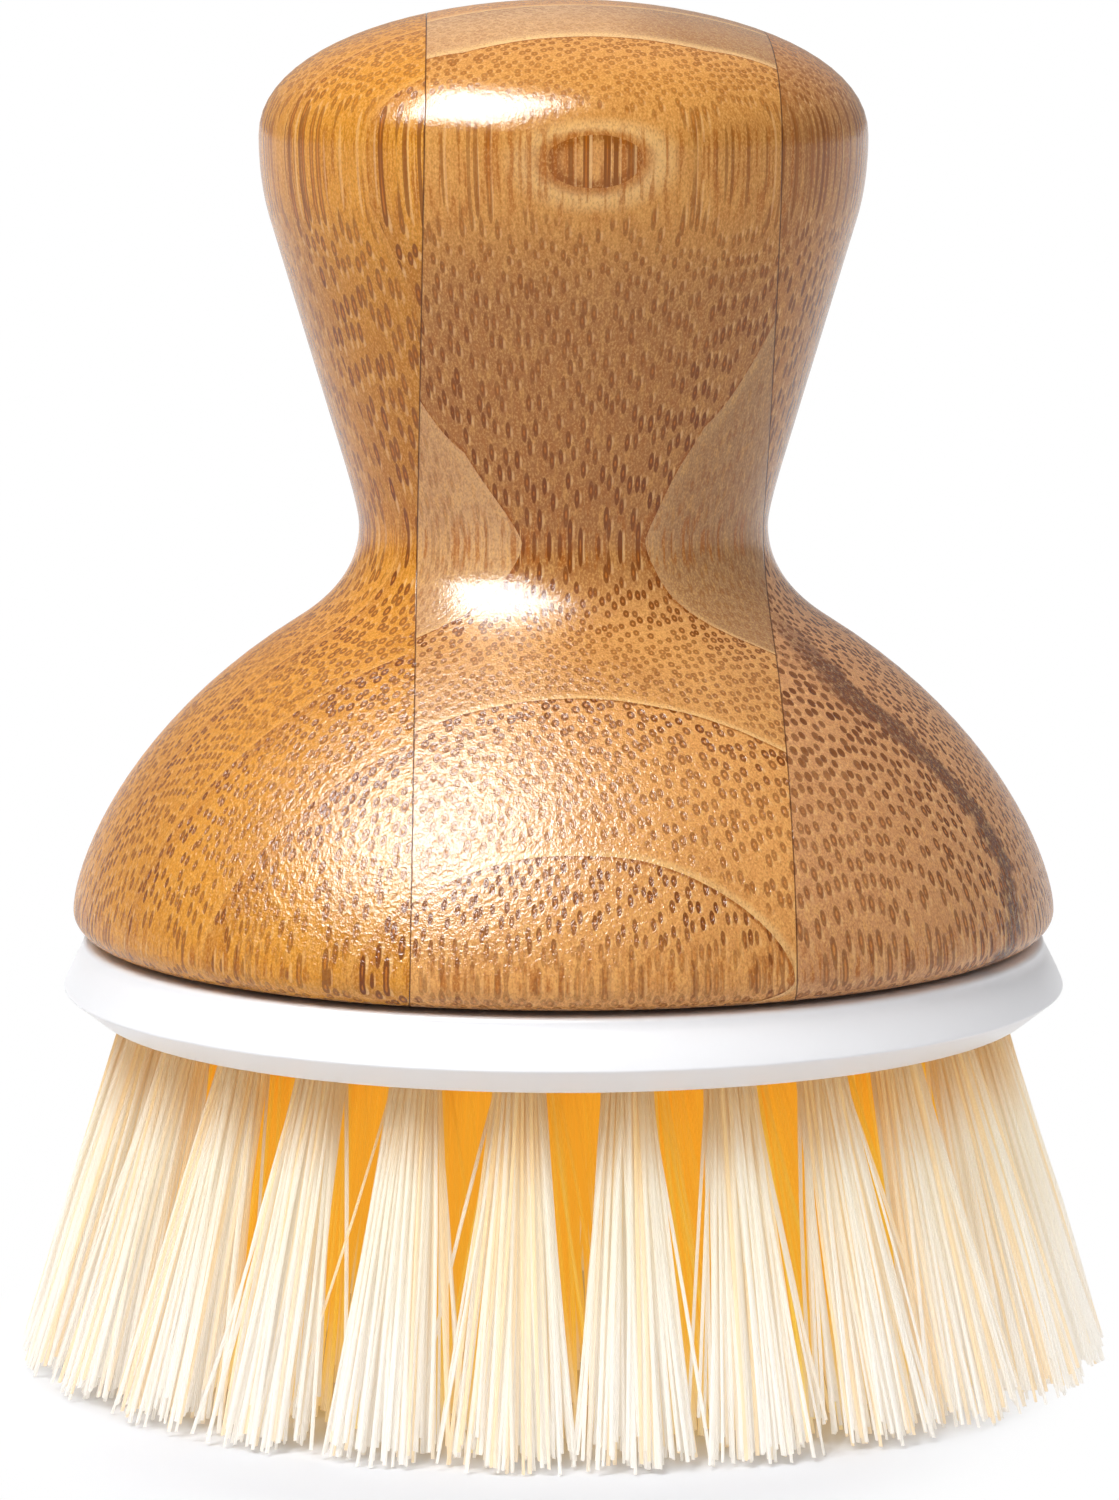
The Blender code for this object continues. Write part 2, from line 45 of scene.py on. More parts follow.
# ---------------------------------------------------------------- sizes, in millimetres

# the turned bamboo handle
HANDLE_BOTTOM = 31.15
BASE_RADIUS = 33.6
DOME_RADIUS = 36.05
DOME_WIDEST = 33.05
FLARE_RADIUS = 19.65
FLARE_HEIGHT = 54.1
WAIST_RADIUS = 14.95
WAIST_FOOT = 61.2
WAIST_HEAD = 62.3
CONE_HEAD = 86.15
KNOB_RADIUS = 22.1
KNOB_WIDEST = 89.55
HANDLE_TOP = 99.3

# glue planes between the boards: place at the waist, turn about the axis, lean along it
LEFT_GLUE = (-10.7, math.radians(1.3), math.radians(1.2))
RIGHT_GLUE = (14.3, math.radians(3.3), math.radians(0.2))
GLUE_LINE = 0.02
GLUE_GAP = 0.3

# screw joint
THREAD_PITCH = 3.0
THREAD_ROOT = 5.3
THREAD_CREST = 6.5
THREAD_HALF_ROOT = 0.8
THREAD_HALF_CREST = 0.35
THREAD_STEPS = 60
THREAD_FOOT = 32.05
THREAD_TURNS = 2.25
THREAD_CLOCKING = math.radians(3)
STUD_RADIUS = 5.6
STUD_TOP = 39.85
INSERT_BORE = 5.95
INSERT_RADIUS = 8.6
INSERT_GROOVES = (38.4, 35.4)
INSERT_BORE_TOP = 40.85
INSERT_TOP = 42.05
FLANGE_RADIUS = 12.6
FLANGE_TOP = 32.55
WASHER_BOTTOM = 29.95
WASHER_TOP = 30.85
WASHER_INNER = 7.3
WASHER_OUTER = 12.3

# brush head
DISC_TOP = 30.85
DISC_TOP_RADIUS = 35.4
RIM_RADIUS = 36.84
RIM_CREASE = 27.4
DISC_UNDER = 25.5
DISC_UNDER_RADIUS = 34.4
RECESS_FLOOR = 29.65
RECESS_RADIUS = 12.6
HOLE_RADIUS = 2.2
HOLE_DEPTH = 3.3

# bristle rows: radius at the disc's underside, and number of tufts
OUTER_ROW = (30.6, 26)
SECOND_ROW = (24.48, 20)
INNER_ROWS = [(18.36, 14), (12.24, 9), (6.12, 5)]
FIRST_TUFT = math.radians(-5.6)
SPLAY = 0.236

# filaments: how many a tuft has, and how far it spreads outwards and sideways at its tip
OUTER_FILAMENTS = (120, (3.3, 4.1))
SECOND_FILAMENTS = (96, (3.3, 4.3))
INNER_FILAMENTS = (64, (3.3, 3.7))
FILAMENT_RADII = (0.105, 0.16)
ROOT_RADIUS = 1.72
ROOT_DEPTH = 2.7
TIP_REACH = 40.2


# ---------------------------------------------------------------- handling of objects

def pick_none():
    if bpy.context.object and bpy.context.object.mode != "OBJECT":
        bpy.ops.object.mode_set(mode="OBJECT")
    bpy.ops.object.select_all(action="DESELECT")


def pick(*pieces):
    pick_none()
    for piece in pieces:
        piece.select_set(True)
    bpy.context.view_layer.objects.active = pieces[-1]


def edit_all(piece):
    pick(piece)
    bpy.ops.object.mode_set(mode="EDIT")
    bpy.ops.mesh.select_all(action="SELECT")


def end_edit():
    bpy.ops.object.mode_set(mode="OBJECT")


def copied(piece, name):
    pick(piece)
    bpy.ops.object.duplicate(linked=False)
    twin = bpy.context.object
    twin.name = name
    twin.data.name = name
    return twin


def closed(piece):
    """Merges what lies on itself and turns all faces outwards."""
    edit_all(piece)
    bpy.ops.mesh.remove_doubles(threshold=0.002 * MM)
    bpy.ops.mesh.normals_make_consistent(inside=False)
    end_edit()


def smooth(piece, angle=32):
    pick(piece)
    bpy.ops.object.shade_smooth_by_angle(angle=math.radians(angle))


def joined(pieces, name):
    pick(*pieces)
    bpy.ops.object.join()
    whole = bpy.context.object
    whole.name = name
    whole.data.name = name
    return whole


def combined(piece, other, operation):
    """Adds the other solid to the piece, or cuts it away, and removes the other."""
    pick(piece)
    change = piece.modifiers.new("change", "BOOLEAN")
    change.operation = operation
    change.solver = "EXACT"
    change.object = other
    bpy.ops.object.modifier_apply(modifier=change.name)
    bpy.data.objects.remove(other)


def between(start, end, share):
    return tuple(a + (b - a) * share for a, b in zip(start, end))


def bend(start, corner, end):
    """A curve with one corner point, as the two handles and the end of a cubic."""
    return (between(start, corner, 2 / 3), between(end, corner, 2 / 3), end)


def straight(*points):
    """Straight runs from point to point."""
    return [(point,) for point in points]


def turned(name, start, runs, steps, fineness=1):
    """Turns an outline of (radius, height) points about the axis. A run is (end,) or (handle, handle, end)."""
    pick_none()
    bpy.ops.curve.primitive_bezier_curve_add(location=(0, 0, 0))
    curve = bpy.context.object
    curve.data.resolution_u = fineness
    spline = curve.data.splines[0]
    spline.bezier_points.add(len(runs) - 1)
    points = spline.bezier_points
    for point, (radius, height) in zip(points, [start] + [run[-1] for run in runs]):
        point.handle_left_type = "FREE"
        point.handle_right_type = "FREE"
        spot = Vector((radius, 0, height)) * MM
        point.co = spot
        point.handle_left = spot
        point.handle_right = spot
    for point, after, run in zip(points, points[1:], runs):
        if len(run) == 1:
            point.handle_right_type = "VECTOR"
            after.handle_left_type = "VECTOR"
        else:
            point.handle_right = Vector((run[0][0], 0, run[0][1])) * MM
            after.handle_left = Vector((run[1][0], 0, run[1][1])) * MM
    bpy.ops.object.convert(target="MESH")
    piece = bpy.context.object
    piece.name = name
    piece.data.name = name
    edit_all(piece)
    bpy.ops.mesh.spin(steps=steps, angle=math.tau, center=(0, 0, 0), axis=(0, 0, 1))
    end_edit()
    closed(piece)
    return piece


# ---------------------------------------------------------------- materials

class Wire:
    """An output of a node. Sums on it add Math nodes."""

    def __init__(self, nodes, socket):
        self.nodes = nodes
        self.socket = socket

    def maths(self, operation, *values):
        return self.nodes.add("ShaderNodeMath", {"operation": operation}, dict(enumerate(values)))[0]

    def __add__(self, other):
        return self.maths("ADD", self, other)

    def __radd__(self, other):
        return self.maths("ADD", other, self)

    def __sub__(self, other):
        return self.maths("SUBTRACT", self, other)

    def __rsub__(self, other):
        return self.maths("SUBTRACT", other, self)

    def __mul__(self, other):
        return self.maths("MULTIPLY", self, other)

    def __rmul__(self, other):
        return self.maths("MULTIPLY", other, self)

    def __truediv__(self, other):
        return self.maths("DIVIDE", self, other)

    def __rtruediv__(self, other):
        return self.maths("DIVIDE", other, self)

    def __abs__(self):
        return self.maths("ABSOLUTE", self)

    def __gt__(self, other):
        return self.maths("GREATER_THAN", self, other)

    def floor(self):
        return self.maths("FLOOR", self)

    def larger(self, other):
        return self.maths("MAXIMUM", self, other)

    def smaller(self, other):
        return self.maths("MINIMUM", self, other)

    def rise(self, low, high):
        """Goes smoothly from 0 at low to 1 at high; it falls where low is the larger number."""
        return self.nodes.add("ShaderNodeMapRange", {"interpolation_type": "SMOOTHSTEP"},
                              {"Value": self, "From Min": low, "From Max": high})[0]


class Outputs:
    """What a node gives, by name or by number."""

    def __init__(self, nodes, node):
        self.nodes = nodes
        self.node = node

    def __getitem__(self, key):
        return Wire(self.nodes, self.node.outputs[key])


class Nodes:
    """The nodes of a material or of the world."""

    def __init__(self, tree):
        self.tree = tree
        self.tree.nodes.clear()

    def add(self, kind, settings=None, values=None):
        """Adds a node: its settings first, then the values or links of its sockets."""
        node = self.tree.nodes.new(kind)
        for key, value in (settings or {}).items():
            if key == "stops":
                self.set_stops(node.color_ramp, value)
            else:
                setattr(node, key, value)
        for key, value in (values or {}).items():
            if isinstance(value, Wire):
                self.tree.links.new(value.socket, node.inputs[key])
            elif isinstance(value, tuple) and node.inputs[key].type == "RGBA":
                node.inputs[key].default_value = (*value, 1.0)
            else:
                node.inputs[key].default_value = value
        return Outputs(self, node)

    @staticmethod
    def set_stops(ramp, stops):
        ramp.interpolation = "CONSTANT"
        while len(ramp.elements) < len(stops):
            ramp.elements.new(1.0)
        for element, (place, tone) in zip(ramp.elements, stops):
            element.position = place
            element.color = (*tone, 1.0)

    def mix(self, share, first, second):
        """Mixes two colours."""
        return self.add("ShaderNodeMix", {"data_type": "RGBA"}, {0: share, 6: first, 7: second})[2]

    def noise(self, vector, scale, detail=2.0, roughness=0.5):
        return self.add("ShaderNodeTexNoise", {"noise_dimensions": "3D"},
                        {"Vector": vector, "Scale": scale, "Detail": detail, "Roughness": roughness})

    def spot(self, x, y, z=0.0):
        return self.add("ShaderNodeCombineXYZ", {}, {0: x, 1: y, 2: z})[0]

    def channels(self, colour):
        return self.add("ShaderNodeSeparateColor", {}, {0: colour})

    def vectors(self, operation, first, second):
        return self.add("ShaderNodeVectorMath", {"operation": operation}, {0: first, 1: second})[0]

    def length(self, vector):
        return self.add("ShaderNodeVectorMath", {"operation": "LENGTH"}, {0: vector})["Value"]


class Finish(Nodes):
    """The nodes of one material."""

    def __init__(self, name):
        self.material = bpy.data.materials.new(name)
        self.material.use_nodes = True
        super().__init__(self.material.node_tree)

    def relief(self, height):
        """The surface's direction over a height in millimetres."""
        return self.add("ShaderNodeBump", {}, {"Strength": 1.0, "Distance": MM, "Height": height})[0]

    def blended(self, share, first, second):
        return self.add("ShaderNodeMixShader", {}, {0: share, 1: first, 2: second})[0]

    def end(self, shader):
        self.add("ShaderNodeOutputMaterial", {}, {0: shader})
        return self.material


def srgb(red, green, blue):
    """A colour as a screen shows it, 0 to 255, in linear light."""
    shares = [value / 255 for value in (red, green, blue)]
    return tuple(share / 12.92 if share <= 0.04045 else ((share + 0.055) / 1.055) ** 2.4 for share in shares)


def coordinates(finish):
    """The place on the object, as a vector in metres and as three numbers in millimetres."""
    place = finish.add("ShaderNodeTexCoord")["Object"]
    parts = finish.add("ShaderNodeSeparateXYZ", {}, {0: place})
    return place, parts[0] / MM, parts[1] / MM, parts[2] / MM


def dress(piece, material):
    piece.data.materials.clear()
    piece.data.materials.append(material)


def place_piece(piece, body, slot, *nodes):
    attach(piece, body)
    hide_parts(*nodes)


# ---------------------------------------------------------------- bamboo

# fibre bundles in the inner and the outer part of the culm: cell, radius, half of the sheath, share left out
FINE_BUNDLES = (0.64, 0.16, 0.114, 0.12)
COARSE_BUNDLES = (0.80, 0.22, 0.128, 0.05)

# heights between which the neck gives way to the dome, and to the knob
NECK_TO_DOME = (58.0, 52.0)
NECK_TO_KNOB = (80.0, 84.0)

# the lacquer: its index, and its roughness on the upright neck and on the dome's end grain
LACQUER_INDEX = 1.42
LACQUER_ROUGHNESS = 0.18
END_GRAIN_ROUGHNESS = 0.06

CLOUD_TONE = srgb(150, 84, 30)
FIBRE_TONE = srgb(172, 92, 4)
PALE_FIBRE_TONE = srgb(232, 172, 92)
PORE_TONE = srgb(128, 66, 14)
PALE_PORE_TONE = srgb(255, 204, 118)
# painted highlight beside each fibre bundle, where the side of its pit would catch the light
PAINTED_GLINT_TONE = srgb(248, 202, 138)
BUNDLE_HEART_TONE = srgb(186, 100, 2)
KNOB_SHEATH_TONE = srgb(138, 75, 4)
TORN_EDGE_TONE = srgb(240, 200, 165)
GLUE_TONE = srgb(96, 46, 10)


def bundles(finish, across, upright, cell, radius, wall, thinning):
    """Fibre bundles that run along the culm: a dark sheath, its heart, and a painted highlight to its right."""
    grid = finish.add("ShaderNodeTexVoronoi", {"voronoi_dimensions": "2D", "feature": "F1"},
                      {"Vector": across, "Scale": 1 / cell, "Randomness": 0.62})
    own = finish.channels(grid["Color"])
    own_size = 0.8 + own[0] * 0.4
    reach = radius * own_size * (1 - upright * 0.32)
    wall = wall * (1 - upright * 0.25)
    distance = grid["Distance"] * cell
    kept = (own[1] > thinning) * (0.75 + own[2] * 0.25)
    sheath = (abs(distance - reach) / wall).rise(1.0, 0.6) * kept
    heart = distance.rise(reach, reach * 0.5) * kept
    to_right = finish.vectors("SUBTRACT", across, grid["Position"])
    from_painted_glint = finish.length(finish.vectors("SUBTRACT", to_right, (radius * 1.3, -radius * 0.9, 0.0)))
    return sheath, heart, from_painted_glint.rise(radius * 0.95, radius * 0.35) * kept


def glue_distance(x, y, z, glue):
    place, turn, lean = glue
    return abs(x - place + y * math.tan(turn) - (z - WAIST_FOOT) * math.tan(lean))


class Bamboo(Finish):
    """Lacquered bamboo: strips of culm lie one in front of the other, with their fibre bundles upright."""

    def __init__(self, name):
        super().__init__(name)
        self.place, self.x, self.y, self.z = coordinates(self)
        level = self.add("ShaderNodeSeparateXYZ", {}, {0: self.add("ShaderNodeNewGeometry")["Normal"]})[2]
        self.upright = 1 - level * level
        self.end_grain = 0.25 + self.z.rise(*NECK_TO_DOME) * 0.75
        along_fibre = self.vectors("MULTIPLY", self.place, (1.0, 1.0, 0.35))
        self.drift = self.channels(self.noise(along_fibre, 55.0)["Color"])
        self.cloud = self.noise(along_fibre, 150.0, 3.0)[0]
        self.across = self.across_culm()

    def across_culm(self):
        """The place across the culm, held along the knob's side so that its bundles are cut into long streaks."""
        radius = self.length(self.spot(self.x, self.y))
        at_knob = self.z.rise(80.0, 86.0) * self.z.rise(95.0, 91.0)
        pull = 1 + (KNOB_RADIUS / radius - 1) * at_knob * 0.8
        near = self.x * pull + (self.drift[0] - 0.5) * 1.2
        far = self.y * pull + (self.drift[1] - 0.5) * 1.2
        return self.spot(near * 0.82 + far * 0.57, far * 0.82 - near * 0.57)

    def strips(self, depth, first, thickness):
        """The number of the strip that a point lies in, and how far forward it lies in it, as a share."""
        place = (depth + (self.drift[2] - 0.5) * 0.8 - first) / thickness
        strip = place.floor()
        return strip, place - strip

    def by_strip(self, strip, tones):
        stops = [(index / len(tones), tone) for index, tone in enumerate(tones)]
        return self.add("ShaderNodeValToRGB", {"stops": stops}, {0: (strip + 0.5) / len(tones)})[0]

    def grained(self, ground, pores):
        """Clouds, fibres and pores over the ground tone of the strips."""
        drawn_out = self.vectors("MULTIPLY", self.place, (1.0, 1.0, 0.03))
        fibre = self.noise(drawn_out, 2300.0, 2.0, 0.6)[0]
        side_grain = 0.12 + self.upright.rise(0.9, 1.0) * 0.58
        ground = self.mix(self.cloud.rise(0.35, 0.75) * 0.22, ground, CLOUD_TONE)
        ground = self.mix(fibre.rise(0.50, 0.62) * side_grain, ground, FIBRE_TONE)
        ground = self.mix(fibre.rise(0.46, 0.34) * self.upright * 0.30, ground, PALE_FIBRE_TONE)
        ground = self.mix(pores.rise(0.5, 0.70) * 0.30, ground, PORE_TONE)
        return self.mix(pores.rise(0.5, 0.32) * 0.24, ground, PALE_PORE_TONE)

    def lacquered(self, ground, coarse, strength, sheath_tone, filled=0.0):
        """Bundles, grain, glue lines and the lacquer's relief over the ground tone of the strips."""
        fine_set = bundles(self, self.across, self.upright, *FINE_BUNDLES)
        coarse_set = bundles(self, self.across, self.upright, *COARSE_BUNDLES)
        sheath, heart, painted_glint = [
            (fine_part * (1 - coarse) + coarse_part * coarse) * strength
            for fine_part, coarse_part in zip(fine_set, coarse_set)
        ]
        sheath = sheath.larger(heart * filled)
        pores = self.noise(self.vectors("MULTIPLY", self.place, (1.0, 1.0, 0.6)), 7200.0, 1.0, 0.6)[0]
        colour = self.grained(ground, pores)
        # painted highlight beside each bundle, standing in for the lit side of its pit
        colour = self.mix(painted_glint * (0.2 + self.upright * 0.32), colour, PAINTED_GLINT_TONE)
        colour = self.mix(heart * (0.05 + self.upright * 0.85), colour, BUNDLE_HEART_TONE)
        sheath_tone = self.mix(self.z.rise(78.0, 84.0), sheath_tone, KNOB_SHEATH_TONE)
        colour = self.mix(sheath * (1 - self.z.rise(89.0, 94.0) * 0.2), colour, sheath_tone)
        torn = self.z.rise(31.6, 31.2) * self.noise(self.place, 2200.0)[0].rise(0.4, 0.6)
        colour = self.mix(torn * 0.7, colour, TORN_EDGE_TONE)
        to_left, to_right = [glue_distance(self.x, self.y, self.z, glue) for glue in (LEFT_GLUE, RIGHT_GLUE)]
        to_glue = to_left.smaller(to_right)
        colour = self.mix(to_glue.rise(0.085, 0.02) * 0.8, colour, GLUE_TONE)

        peel = self.noise(self.place, 2500.0, 2.0, 0.6)[0] * self.end_grain * 0.115
        pits = (heart * 0.022 + sheath * 0.022) * (0.15 + self.z.rise(55.0, 51.5) * 0.85)
        height = peel + pores * self.end_grain * 0.03 - pits - to_glue.rise(0.07, 0.0) * 0.015
        return self.end(self.add("ShaderNodeBsdfPrincipled", {}, {
            "Base Color": colour, "Roughness": LACQUER_ROUGHNESS + self.end_grain * END_GRAIN_ROUGHNESS,
            "IOR": LACQUER_INDEX, "Normal": self.relief(height),
        })[0])


def left_bamboo():
    """The left board: thin strips behind one another, paler where each begins."""
    finish = Bamboo("bamboo_left")
    share = finish.strips(finish.x * 0.05 - finish.y, 0.9, 7.8)[1]
    ground = finish.mix(share.rise(0.25, 0.0) * 0.45, srgb(221, 147, 42), srgb(170, 96, 24))
    ground = finish.mix(share.rise(0.94, 0.98) * 0.25, ground, srgb(236, 176, 96))
    # painted shade: the neck, which faces down, is darkened as if less light reached it from below
    neck = finish.z.rise(59.0, 64.0) * finish.z.rise(86.0, 78.0)
    ground = finish.mix(neck * 0.55, ground, srgb(178, 112, 30))
    coarse = finish.x.rise(-27.0, -15.0).larger(finish.z.rise(*NECK_TO_KNOB))
    strength = share.rise(0.98, 0.90) * (0.75 + share.rise(0.6, 0.1) * 0.25)
    return finish.lacquered(ground, coarse, strength, srgb(122, 59, 0))


def middle_depth(finish):
    """How far forward a point lies in the middle board, from planes that lean and bow as its strips do."""
    at_waist = (abs(finish.z - 60.5) / 7).rise(1.0, 0.0)
    tilt = (finish.z - 55) * 0.0016 + 0.05 + at_waist * 0.05
    depth = finish.x * tilt - finish.y
    near_first = (1 - abs(depth - 14.6) / 4.5).larger(0.0)
    to_side = (abs(finish.x - 1.5) - 8.5).larger(0.0) * finish.z.rise(60.0, 64.0)
    depth = depth + near_first * (0.15 - finish.z.rise(60.0, 55.0) * 0.6 + at_waist * 0.25 + to_side * 0.35)
    near_second = (1 - abs(depth - 23.7) / 9).larger(0.0)
    from_island = finish.z - 88.3
    over_island = from_island * from_island
    lean = finish.z.rise(52.0, 80.0) * 2.12 - over_island.smaller(30.0) * finish.z.rise(74.0, 82.0) * 0.075
    return depth + near_second * lean


def middle_bamboo():
    """The middle board: arches on the dome, wedges at the waist and an island on the knob."""
    finish = Bamboo("bamboo_middle")
    strip, share = finish.strips(middle_depth(finish), 14.8, 8.9)
    number = strip + 6
    tan, brown, pale = srgb(224, 157, 86), srgb(176, 118, 62), srgb(210, 162, 112)
    ground = finish.by_strip(number, [tan, brown, tan, brown, tan, pale, brown, tan, tan, brown])
    front = (strip > -0.5) * (1 - (strip > 0.5))
    ground = finish.mix(front * finish.z.rise(60.0, 55.0), ground, srgb(218, 156, 88))
    ground = finish.mix(front * finish.z.rise(78.0, 86.0), ground, srgb(212, 146, 68))
    right_wedge = (1 - (strip > -0.5)) * finish.x.rise(2.0, 9.0)
    ground = finish.mix(right_wedge * 0.8, ground, srgb(162, 117, 74))

    bare = 0.955 - finish.z.rise(60.0, 80.0) * 0.075
    halo = ((share - bare) / (1 - bare)).rise(0.0, 0.85)
    lined = 0.15 + finish.z.rise(58.0, 54.0) * 0.5 + finish.z.rise(76.0, 82.0) * 0.5
    ground = finish.mix(halo * lined, ground, srgb(246, 202, 136))
    ground = finish.mix(share.rise(0.022, 0.006) * 0.8, ground, srgb(150, 76, 6))
    at_knob = finish.z.rise(*NECK_TO_KNOB)
    island = (strip > 0.5) * at_knob
    ground = finish.mix(island * (0.2 + share.rise(0.03, 0.004) * 0.7), ground, srgb(150, 80, 6))
    around_island = share.rise(0.960, 0.998) * (1 - island) * at_knob * finish.z.rise(95.0, 92.0)
    ground = finish.mix(around_island * 0.8, ground, srgb(176, 98, 14))

    full, half = (1.0,) * 3, (0.5,) * 3
    own_strength = finish.channels(finish.by_strip(number, [full] * 5 + [half] + [full] * 4))[0]
    strength = (share - bare).rise(0.01, -0.05) * (0.65 + share.rise(0.5, 0.05) * 0.35) * own_strength
    not_behind = (1 - (strip > 1.5)).larger(finish.z.rise(82.0, 85.0)).larger(finish.z.rise(37.0, 34.0) * 0.6)
    return finish.lacquered(ground, (strip > 0.5) * not_behind, strength, srgb(122, 60, 0))


def right_bamboo():
    """The right board: one thick strip with a dark stain down the dome."""
    finish = Bamboo("bamboo_right")
    run = (39 - finish.z).larger(0.0) * 0.5 - (finish.z - 50.5).larger(0.0) * 0.9
    ragged = finish.noise(finish.place, 900.0, 3.0)[0]
    from_stain = abs(finish.y + 13.9 + run + (finish.cloud - 0.5) * 2.2 + (ragged - 0.5) * 2.4)
    stain = from_stain.rise(1.7, 0.6) * finish.cloud.rise(0.2, 0.45) * finish.z.rise(58.0, 51.0)
    ground = finish.mix(stain * 0.95, srgb(206, 147, 97), srgb(80, 42, 38))
    # darker from the neck up: partly the board's own tone, partly painted shade on the neck, which faces down
    ground = finish.mix(finish.z.rise(57.0, 64.0) * 0.75, ground, srgb(172, 108, 36))
    coarse = finish.y.rise(-12.0, -16.0)
    strength = 0.65 + finish.y.rise(-27.0, -17.0) * 0.35
    return finish.lacquered(ground, coarse, strength, srgb(108, 52, 0), finish.z.rise(41.0, 47.0))


# ---------------------------------------------------------------- plastics and bristles

def plastic(name, tone, roughness, grain):
    """Moulded plastic with the fine grain of its mould."""
    finish = Finish(name)
    place = finish.add("ShaderNodeTexCoord")["Object"]
    speckle = finish.noise(place, 1600.0)[0]
    cloud = finish.noise(place, 60.0)[0]
    clouded_tone = tuple(value * 0.93 for value in tone)
    return finish.end(finish.add("ShaderNodeBsdfPrincipled", {}, {
        "Base Color": finish.mix(cloud * 0.25, tone, clouded_tone),
        "Roughness": roughness + speckle * 0.08, "IOR": 1.49, "Normal": finish.relief(speckle * grain),
    })[0])


def bristle(name, tones, let_through_and_glow, tip_from, painted_glow):
    """Clear monofilament: its tone goes from root over body to tip, and light comes through it.

    The root's tone is a painted shadow of the rim, and the filaments have a painted glow of their own.
    The tones are the root's, the body's, the tip's and an odd filament's; filaments on a tuft's sides
    take the odd tone more often, as a painted tint of the light from the tufts beside them. What is let
    through is the body's and the tip's; it also colours the glow. The tip's tone comes in between the
    two shares of tip_from.
    """
    root, body, tip, odd = tones
    through, tip_through_and_glow = let_through_and_glow
    finish = Finish(name)
    along = finish.add("ShaderNodeAttribute", {"attribute_name": "along"})["Fac"]
    own = finish.add("ShaderNodeAttribute", {"attribute_name": "own_tone"})["Fac"]
    at_tip = (along + (own - 0.5) * 0.12).rise(*tip_from)
    # the root's tone is a painted shadow of the rim over the top of the filaments, in the colour and the glow
    past_painted_shadow = (along + own * 0.08).rise(0.24, 0.48)
    colour = finish.mix(past_painted_shadow, root, body)
    colour = finish.mix(at_tip, colour, tip)
    # the odd tone: partly a random tone of the filament, partly a painted tint of the light from the tufts beside
    colour = finish.mix(own.rise(0.26, 0.08) * 0.75, colour, odd)
    gloss = finish.add("ShaderNodeBsdfPrincipled", {}, {
        "Base Color": colour, "Roughness": 0.32 + own * 0.1, "IOR": 1.5,
        # painted glow: the filaments give off light themselves, standing in for light scattered inside them
        "Emission Color": finish.mix(past_painted_shadow, root, finish.mix(at_tip, through, tip_through_and_glow)),
        "Emission Strength": painted_glow,
    })[0]
    lit = finish.add("ShaderNodeBsdfTranslucent", {}, {"Color": through})[0]
    tip_lit = finish.add("ShaderNodeBsdfTranslucent", {}, {"Color": tip_through_and_glow})[0]
    return finish.end(finish.blended(0.5, gloss, finish.blended(at_tip, lit, tip_lit)))


# ---------------------------------------------------------------- the handle

def handle_runs():
    """The handle's outline, from the crown down the outside and up the insert's seat."""
    shoulder = (KNOB_RADIUS, KNOB_WIDEST)
    cone_head = (KNOB_RADIUS, CONE_HEAD)
    cone_foot = (WAIST_RADIUS, WAIST_HEAD)
    waist = (WAIST_RADIUS, WAIST_FOOT)
    flare = (FLARE_RADIUS, FLARE_HEIGHT)
    widest = (DOME_RADIUS, DOME_WIDEST)
    cone_start = between(cone_head, cone_foot, 0.11)
    cone_end = between(cone_foot, cone_head, 0.16)
    flare_slope = 0.626
    flare_rise = (FLARE_RADIUS - WAIST_RADIUS) * flare_slope
    dome_run = (DOME_RADIUS - FLARE_RADIUS) * 0.8
    low_curve = 0.55
    return [
        ((KNOB_RADIUS * 0.5, HANDLE_TOP), (KNOB_RADIUS, KNOB_WIDEST + (HANDLE_TOP - KNOB_WIDEST) * 0.63), shoulder),
        bend(shoulder, cone_head, cone_start),
        (cone_end,),
        bend(cone_end, cone_foot, waist),
        bend(waist, (WAIST_RADIUS, FLARE_HEIGHT + flare_rise), flare),
        ((FLARE_RADIUS + dome_run, FLARE_HEIGHT - dome_run * flare_slope),
         (DOME_RADIUS, DOME_WIDEST + (FLARE_HEIGHT - DOME_WIDEST) * 0.12), widest),
        ((DOME_RADIUS, DOME_WIDEST - (DOME_WIDEST - HANDLE_BOTTOM) * low_curve),
         (BASE_RADIUS + (DOME_RADIUS - BASE_RADIUS) * low_curve, HANDLE_BOTTOM), (BASE_RADIUS, HANDLE_BOTTOM)),
    ] + straight(
        (FLANGE_RADIUS + GLUE_GAP, HANDLE_BOTTOM), (FLANGE_RADIUS + GLUE_GAP, FLANGE_TOP + GLUE_GAP),
        (INSERT_RADIUS + GLUE_GAP, FLANGE_TOP + GLUE_GAP), (INSERT_RADIUS + GLUE_GAP, INSERT_TOP + GLUE_GAP),
        (0.0, INSERT_TOP + GLUE_GAP),
    )


def nick_base(piece):
    """Breaks the turned lower edge a little, where the tool tore the fibres."""
    chance = np.random.default_rng(SEED)
    deepest, on_edge = 0.14, 0.02
    spots = np.zeros(len(piece.data.vertices) * 3)
    piece.data.vertices.foreach_get("co", spots)
    spots = spots.reshape(-1, 3)
    radii = np.hypot(spots[:, 0], spots[:, 1]) / MM
    edge = (abs(radii - BASE_RADIUS) < on_edge) & (abs(spots[:, 2] / MM - HANDLE_BOTTOM) < on_edge)
    lost = chance.uniform(0, 1, edge.sum()) ** 3 * deepest
    spots[edge, :2] *= (1 - lost / BASE_RADIUS)[:, None]
    spots[edge, 2] += lost * 0.9 * MM
    piece.data.vertices.foreach_set("co", spots.ravel())
    piece.data.update()


def parted(piece, glue, side):
    """Saws the piece at a glue plane and keeps the side given: -1 is left, 1 is right."""
    place, turn, lean = glue
    edit_all(piece)
    bpy.ops.mesh.bisect(
        plane_co=((place + side * GLUE_LINE / 2) * MM, 0, WAIST_FOOT * MM),
        plane_no=(1, math.tan(turn), -math.tan(lean)),
        use_fill=True, clear_inner=side > 0, clear_outer=side < 0, threshold=0.001 * MM,
    )
    end_edit()


